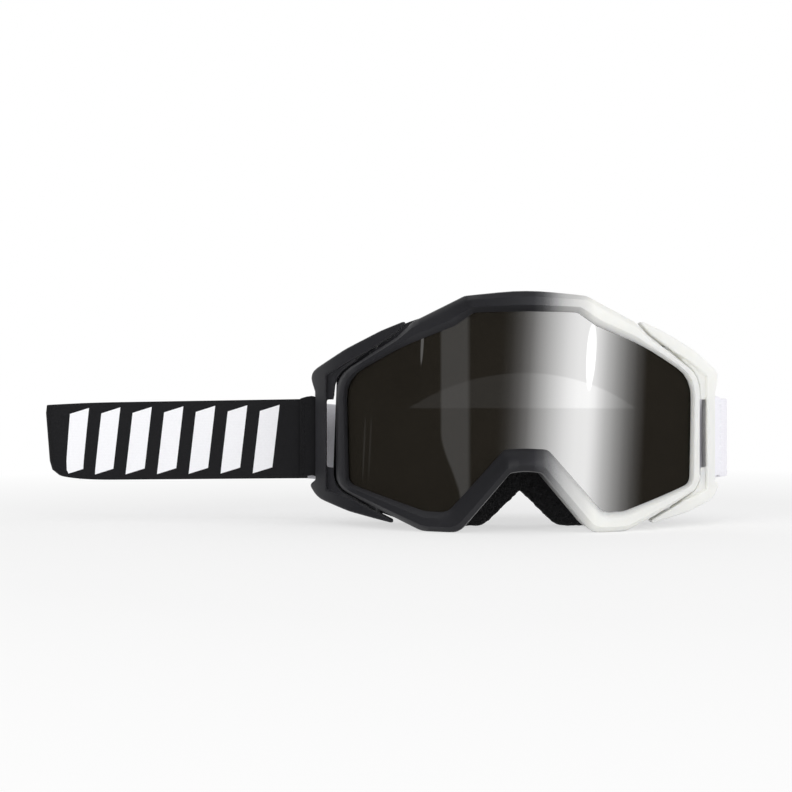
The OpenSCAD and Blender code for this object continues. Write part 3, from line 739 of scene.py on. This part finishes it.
    def screen(self):
        """A round screen that only reflections see: dark, with a softbox, a gap, a dome and lamps."""
        bpy.ops.object.select_all(action="DESELECT")
        bpy.ops.mesh.primitive_cylinder_add(vertices=96, radius=self.SCREEN_R, depth=self.SCREEN_H,
                                            end_fill_type="NOTHING", location=(0, 0, self.SCREEN_Z))
        wall = bpy.context.object
        wall.name = "reflection_screen"
        bpy.ops.object.transform_apply(location=True, rotation=True, scale=True)
        bpy.ops.object.mode_set(mode="EDIT")
        bpy.ops.mesh.select_all(action="SELECT")
        bpy.ops.mesh.bisect(plane_co=(0, self.SCREEN_END, 0), plane_no=(0, 1, 0), clear_outer=True)
        bpy.ops.object.mode_set(mode="OBJECT")
        made, tree = blank_material("reflection_screen")
        axes = tree.add("SeparateXYZ", {0: tree.add("TexCoord").outputs["Object"]}).outputs
        turn, level = tree.math("ARCTAN2", axes[0], tree.math("MULTIPLY", axes[1], -1.0)), axes[2]
        dome = self.dome(tree, turn, level)
        gain = tree.spread(dome, 1.0, self.DOME_GAIN)
        softbox = tree.math("MULTIPLY", self.softbox(tree, turn, level), gain)
        shine = tree.math("ADD", softbox, tree.math("MULTIPLY", dome, self.DOME_SHINE))
        shine = tree.math("ADD", shine, tree.math("MULTIPLY", self.gap(tree, turn, level), self.GAP_SHINE))
        for streak in self.STREAKS:
            shine = tree.math("ADD", shine, self.streak(tree, turn, level, *streak))
        glow = tree.add("Emission", {"Color": shine, "Strength": self.SCREEN_POWER}).outputs[0]
        tree.feed(tree.tree.nodes["Material Output"].inputs["Surface"], glow)
        paint(wall, made)
        for flag in ("visible_camera", "visible_diffuse", "visible_shadow", "visible_transmission"):
            setattr(wall, flag, False)

    def softbox(self, tree, turn, level):
        """A broad bright column with soft sides."""
        drift = tree.math("MULTIPLY", tree.math("SUBTRACT", self.SOFTBOX_Z, level), self.SOFTBOX_LEAN)
        leaned = tree.math("ADD", turn, drift)
        ramp = tree.add("ValToRGB", {"Fac": tree.spread(leaned, 0.0, 1.0, -math.pi, math.pi)})
        stops = ramp.color_ramp.elements
        stops[0].color = stops[1].color = (0, 0, 0, 1)
        for degrees, value in self.SOFTBOX:
            stops.new((degrees + 180) / 360).color = (value, value, value, 1)
        return ramp.outputs[0]

    def gap(self, tree, turn, level):
        """Mask of a grey strip to the left of the softbox, whose left edge swings inward lower down."""
        (top, foot), (start, end) = self.GAP_Z, self.GAP_LEFT
        edge = tree.add("MapRange", {"Value": level, "From Min": top, "From Max": foot, "To Min": start,
                                     "To Max": end}, interpolation_type="SMOOTHSTEP").outputs[0]
        inside = tree.math("SUBTRACT", turn, edge)
        return tree.math("MULTIPLY", tree.spread(inside, 0.0, 1.0, -self.GAP_SOFT, self.GAP_SOFT),
                         tree.spread(turn, 1.0, 0.0, *self.GAP_RIGHT))

    def dome(self, tree, turn, level):
        """Mask of a low arch with a level foot."""
        off = tree.math("DIVIDE", tree.math("SUBTRACT", turn, self.DOME_TURN), self.DOME_HALF)
        roof = tree.spread(tree.math("MULTIPLY", off, off), self.DOME_TOP, self.DOME_FOOT)
        above, below = tree.math("SUBTRACT", level, self.DOME_FOOT), tree.math("SUBTRACT", roof, level)
        return tree.math("MULTIPLY", *(tree.spread(inside, 0.0, 1.0, -self.DOME_SOFT, self.DOME_SOFT)
                                       for inside in (above, below)))

    def streak(self, tree, turn, level, toward, wide, high, top, foot, value):
        """A narrow leaning lamp with rounded ends."""
        rise = tree.math("SUBTRACT", level, high)
        middle = tree.math("ADD", tree.math("MULTIPLY", rise, self.STREAK_LEAN), toward)
        across = tree.math("DIVIDE", tree.math("SUBTRACT", turn, middle), wide)
        along = tree.math("MAXIMUM", tree.math("DIVIDE", rise, top), tree.math("DIVIDE", rise, -foot))
        ring = tree.math("ADD", *(tree.math("MULTIPLY", part, part) for part in (across, along)))
        return tree.spread(ring, value, 0.0, self.STREAK_CORE, 1.0)

    def sky(self, scene, ambient):
        """White where it is looked at, and weaker as a source of light."""
        scene.world = bpy.data.worlds.new("studio")
        scene.world.use_nodes = True
        tree = Tree(scene.world.node_tree)
        back = tree.tree.nodes["Background"]
        back.inputs["Color"].default_value = (1, 1, 1, 1)
        tree.feed(back.inputs["Strength"], tree.spread(looked_at(tree), ambient, 1.0))


class GOGGLES_OT_frame(bpy.types.Operator):
    """Dresses the moulded frame, which fades from black to white"""

    bl_idname = "goggles.frame"
    bl_label = "Frame"

    def execute(self, context):
        piece = node_copy("frame", "moulded_frame")
        smooth(piece, 38)
        piece.visible_glossy = False
        paint(piece, fading_plastic())
        return {"FINISHED"}


class GOGGLES_OT_lens(bpy.types.Operator):
    """Gives the lens its mirror finish"""

    bl_idname = "goggles.lens"
    bl_label = "Lens"

    def execute(self, context):
        frame["nodes"]["lens"].material_slots[0].material = mirror_lens()
        return {"FINISHED"}


class GOGGLES_OT_outriggers(bpy.types.Operator):
    """Dresses both outriggers and their pivot pins"""

    bl_idname = "goggles.outriggers"
    bl_label = "Outriggers"

    def execute(self, context):
        look = finish()
        for side, base, slot, seep in (("left", look.black, "black_plastic", 0.0),
                                       ("right", look.white, "white_plastic", look.seep)):
            piece = node_copy("outrigger_" + side, side + "_yoke")
            apply_modifier(piece, "REMESH", mode="VOXEL", voxel_size=YOKE_CELL * MM)
            apply_modifier(piece, "SMOOTH", factor=0.5, iterations=8)
            apply_modifier(piece, "DISPLACE", strength=YOKE_SWELL * MM, mid_level=0.0)
            smooth(piece, 60)
            paint(piece, plastic(slot, base, rough=0.46, seep=seep))
        pin = steel()
        for side in ("left", "right"):
            frame["nodes"]["pivot_pins_" + side].material_slots[0].material = pin
        return {"FINISHED"}


class GOGGLES_OT_face_foam(bpy.types.Operator):
    """Makes the three layers of face foam and the filter foams behind the vents"""

    bl_idname = "goggles.face_foam"
    bl_label = "Face foam"

    def execute(self, context):
        look = finish()
        cells = foam("open_cell_foam", look.foam, scale=800.0, depth=0.8 * MM, sheen=0.05)
        pile = foam("fleece_pile", look.fleece, scale=1700.0, depth=0.5 * MM, sheen=0.35)
        lumps = bpy.data.textures.new("foam_lumps", "CLOUDS")
        lumps.noise_scale = FOAM_LUMP * MM
        lumps.noise_depth = 2
        for node, name, skin, slot, depth in (("foam_base", "foam_inner", cells, "foam", 0.9),
                                              ("foam_mid", "foam_outer", cells, "foam", 0.9),
                                              ("foam_fleece", "fleece_face", pile, "fleece", 0.5)):
            piece = node_copy(node, name)
            apply_modifier(piece, "REMESH", mode="VOXEL", voxel_size=FOAM_CELL * MM)
            apply_modifier(piece, "SMOOTH", factor=0.5, iterations=3)
            apply_modifier(piece, "DISPLACE", texture=lumps, texture_coords="LOCAL", strength=depth * MM,
                           mid_level=0.6)
            smooth(piece, 80)
            paint(piece, skin)
        for side in ("top", "left", "right"):
            piece = node_copy("vent_foam_" + side, "vent_filter_" + side)
            if side == "top":
                self.reach(piece, FILTER_REACH * MM, FILTER_SINK * MM)
            apply_modifier(piece, "BEVEL", width=0.4 * MM, segments=2)
            smooth(piece, 60)
            paint(piece, cells)
        return {"FINISHED"}

    def reach(self, piece, out, sink):
        """Draws both ends of the top filter out along the wall, past the outer vents."""
        for side in (-1, 1):
            pick(piece, "FACE", lambda face: face.normal.x * side > 0.8)
            bpy.ops.mesh.extrude_region_move(TRANSFORM_OT_translate={"value": (side * out, 0, -sink)})
            bpy.ops.object.mode_set(mode="OBJECT")


class GOGGLES_OT_strap(bpy.types.Operator):
    """Makes the two bands of the strap and their sewn folds round the bars"""

    bl_idname = "goggles.strap"
    bl_label = "Strap"

    def execute(self, context):
        size, look = strap(), finish()
        dark = elastic("dark_elastic", look.dark_band, (0.6, 1.25), pattern=True)
        plain = elastic("dark_elastic_plain", look.dark_band, (0.6, 1.25))
        pale = elastic("pale_elastic", look.pale_band, (0.88, 1.04))
        left_bar, right_bar = Vector((-BAR_X, BAR_Y)), Vector((BAR_X, BAR_Y))
        left_out, right_out = -turned(LEFT_DIR), turned(RIGHT_DIR)
        self.dark_band(band_start(), size, dark)
        self.pale_band(right_bar + RIGHT_DIR * LAP_START + right_out * BAND_OFF, size, pale)
        for side, bar, way, out, skin, slot in (
                ("left", left_bar, LEFT_DIR, left_out, plain, "black_elastic"),
                ("right", right_bar, RIGHT_DIR, right_out, pale, "white_elastic")):
            route = fold_route(bar, way, out)
            heights = [STRAP_Z + fold_rise((p - bar).dot(way), (p - bar).dot(out)) for p in route]
            piece = ribbon("sewn_fold_" + side, route, heights, size.width, size.thickness)
            paint(piece, skin)
            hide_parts("strap_loop_" + side)
            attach(piece, side + "_outrigger")
        self.stitches(size, dark_thread=look.dark_band, pale_thread=look.pale_band)
        return {"FINISHED"}

    def stitches(self, size, dark_thread, pale_thread):
        """Two rows through each fold, and one across the seam of the two bands."""
        half = size.thickness / 2 / MM
        low, count, pitch, loop = FOLD_STITCHES
        for side, turn, way, base, slot in (("left", -1, LEFT_DIR, dark_thread, "black_elastic"),
                                            ("right", 1, RIGHT_DIR, pale_thread, "white_elastic")):
            first = (Vector((turn * BAR_X, BAR_Y)) + way * (FRONT_LEG - FOLD_ROW_INSET)
                     + turned(way) * turn * (FOLD_MID + half))
            piece = stitch_row("fold_stitches_" + side, (*first, STRAP_Z + low), count, (0, 0, pitch), loop)
            apply_modifier(piece, "ARRAY", count=2, use_relative_offset=False, use_constant_offset=True,
                           constant_offset_displace=(way * FOLD_ROW_GAP * MM).to_3d())
            paint(piece, plastic("thread_" + side, base, rough=0.7))
            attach(piece, side + "_outrigger")
        low, count, pitch, loop = SEAM_STITCHES
        seam = (SEAM_X, FAR_Y + half, far_z(SEAM_X) + low)
        piece = stitch_row("seam_stitches", seam, count, (0, 0, pitch), loop)
        paint(piece, plastic("thread_seam", pale_thread, rough=0.7))
        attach(piece, "goggles")

    def run(self, route):
        """Length of a route in plan, in metres."""
        return sum((b - a).length for a, b in zip(route, route[1:])) * MM

    def dark_band(self, start, size, skin):
        """From under the left fold out to the bend, round it and back to the seam."""
        bend, back = Vector((BEND_X, BEND_Y)), Vector((BEND_X, FAR_Y))
        end = Vector((SEAM_X, FAR_Y))
        near_turn, far_turn = arc(bend, start, back, BEND_RADII[0]), arc(back, bend, end, BEND_RADII[1])
        route = filled([start] + near_turn + far_turn + [end], step=3)
        heights = [near_z(p.x) if p.y < (BEND_Y + FAR_Y) / 2 else far_z(p.x) for p in route]
        piece = ribbon("dark_band", route, heights, size.width, size.thickness)
        self.lean(piece, size.width / 2)
        self.print_outside(piece)
        paint(piece, skin)
        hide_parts("strap_black")
        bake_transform(piece)

    def lean(self, piece, half):
        """Tips the bend's top outward and rounds its corners, as the slack band lies."""
        for vertex in piece.data.vertices:
            near = max(0.0, min(1.0, (LEAN_FROM - vertex.co.x) / LEAN_RUN)) ** 2
            up = (vertex.co.z - near_z(BEND_X) * MM) / half
            low = max(0.0, (-LOW_CORNER - up) / (1 - LOW_CORNER)) ** 2
            high = max(0.0, (up - HIGH_CORNER) / (1 - HIGH_CORNER)) ** 2
            vertex.co.x += near * (LEAN_IN + low * LOW_CUT[0] + high * HIGH_CUT[0] - up * LEAN_TIP) * MM
            vertex.co.z += near * (low * LOW_CUT[1] - high * HIGH_CUT[1]) * MM

    def print_outside(self, piece):
        """Moves the map of all faces but the front ones past the bars, so that only these are printed."""
        layer = piece.data.uv_layers["run"]
        for face in piece.data.polygons:
            if face.normal.y > -0.5:
                for corner in face.loop_indices:
                    layer.data[corner].uv.x += 1.0

    def pale_band(self, end, size, skin):
        """From the seam behind the frame to the right, and forward under the right fold."""
        corner = Vector((BAR_X + RIGHT_LEAN * (FAR_Y - BAR_Y), FAR_Y))
        straight = [Vector((x, FAR_Y)) for x in (SEAM_X + SEAM_GAP, FAR_STOP_X, FAR_TURN_X)]
        route = filled(straight + arc(corner, straight[-1], end, FAR_RADIUS) + [end], step=4)
        heights = [far_z(p.x) for p in route]
        piece = ribbon("pale_band", route, heights, size.width, size.thickness)
        paint(piece, skin)
        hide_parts("strap_white")
        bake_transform(piece)


class GOGGLES_OT_fittings(bpy.types.Operator):
    """Makes the slider and the grip beads of the strap"""

    bl_idname = "goggles.fittings"
    bl_label = "Slider and grip"

    def execute(self, context):
        look = finish()
        slider = node_copy("strap_slider", "slider")
        apply_modifier(slider, "BEVEL", width=0.5 * MM, segments=3)
        smooth(slider, 40)
        paint(slider, plastic("slider_plastic", look.white, rough=0.35))
        self.grip()
        return {"FINISHED"}

    def grip(self):
        """Three silicone beads on the inside of the dark band, laid along its run."""
        start = band_start()
        along = (Vector((BEND_X, BEND_Y)) - start).normalized()
        behind = turned(along) * (strap().thickness / 2 / MM + BEAD_OFF + BEAD_T / 2)
        route = filled([start + along * run + behind for run in BEAD_RUN], step=3)
        beads = []
        for rise in (-BEAD_RISE, 0.0, BEAD_RISE):
            heights = [near_z(p.x) + rise for p in route]
            beads.append(ribbon("grip_bead", route, heights, BEAD_W * MM, BEAD_T * MM, rows=2))
        piece = activate(*beads)
        bpy.ops.object.join()
        piece.name = piece.data.name = "grip_beads"
        paint(piece, silicone())
        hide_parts("strap_grip")
        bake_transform(piece)


class GOGGLES_PT_pieces(bpy.types.Panel):
    """Lists the goggles' pieces in the sidebar"""

    bl_label = "Motorcycle goggles"
    bl_idname = "GOGGLES_PT_pieces"
    bl_space_type = "VIEW_3D"
    bl_region_type = "UI"
    bl_category = "Goggles"

    def draw(self, context):
        for step in STEPS:
            self.layout.operator(step.bl_idname)
        for name, kind in GROUPS.items():
            for key in kind.__annotations__:
                self.layout.prop(getattr(context.scene, name), key)


STEPS = (GOGGLES_OT_stage, GOGGLES_OT_frame, GOGGLES_OT_lens, GOGGLES_OT_outriggers, GOGGLES_OT_face_foam,
         GOGGLES_OT_strap, GOGGLES_OT_fittings)
GROUPS = {"goggles_finish": GogglesFinish, "goggles_strap": GogglesStrap, "goggles_stage": GogglesStage}


def register():
    for kind in (*GROUPS.values(), *STEPS, GOGGLES_PT_pieces):
        bpy.utils.register_class(kind)
    for name, kind in GROUPS.items():
        setattr(bpy.types.Scene, name, bpy.props.PointerProperty(type=kind))


def unregister():
    for name in GROUPS:
        delattr(bpy.types.Scene, name)
    for kind in reversed((*GROUPS.values(), *STEPS, GOGGLES_PT_pieces)):
        bpy.utils.unregister_class(kind)


def main():
    register()
    bpy.ops.object.select_all(action="DESELECT")
    bpy.ops.goggles.stage()
    bpy.ops.goggles.frame()
    bpy.ops.goggles.lens()
    bpy.ops.goggles.outriggers()
    bpy.ops.goggles.face_foam()
    bpy.ops.goggles.strap()
    bpy.ops.goggles.fittings()


if __name__ == "__main__":
    main()
